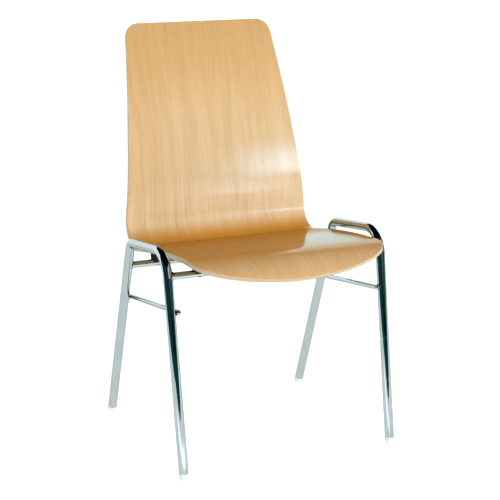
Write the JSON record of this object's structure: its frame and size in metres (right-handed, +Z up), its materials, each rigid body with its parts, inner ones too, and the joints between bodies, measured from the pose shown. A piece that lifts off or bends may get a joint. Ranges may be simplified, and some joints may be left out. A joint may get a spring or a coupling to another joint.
{
  "type": "stacking chair",
  "caption": "Stacking chair with a one-piece moulded beech plywood seat and back on a chromed tube frame with inverted-U sides, cross bars, side stretchers and plastic glides.",
  "frame": {"origin": "on the floor, at the middle of the overall width and depth", "axes": "+Z up, the chair faces -Y, +X towards the right side as seen by someone who stands in front and looks along +Y"},
  "size_m": [0.51, 0.5606, 0.8787],
  "materials": {
    "beech_plywood": "clear gloss lacquer over natural beech veneer",
    "chromed_steel": "bright chrome plate",
    "black_plastic": "moulded black polyamide",
    "glide_plastic": "translucent natural polyethylene",
    "zinc_steel": "bright zinc plate",
    "insert_steel": "zinc plated, turned"
  },
  "bodies": {
    "root": {"seat_shell": "beech_plywood", "side_frame_left": "chromed_steel", "side_frame_right": "chromed_steel", "stretcher_left": "chromed_steel", "stretcher_right": "chromed_steel", "cross_bar_front": "chromed_steel", "cross_bar_rear": "chromed_steel", "glide_front_left": "glide_plastic", "glide_front_right": "glide_plastic", "spacer_front_left": "black_plastic", "spacer_front_right": "black_plastic", "screw_front_left": "zinc_steel", "screw_front_right": "zinc_steel", "insert_front_left": "insert_steel", "insert_front_right": "insert_steel", "glide_rear_left": "glide_plastic", "glide_rear_right": "glide_plastic", "spacer_rear_left": "black_plastic", "spacer_rear_right": "black_plastic", "screw_rear_left": "zinc_steel", "screw_rear_right": "zinc_steel", "insert_rear_left": "insert_steel", "insert_rear_right": "insert_steel"}
  },
  "joints": []
}
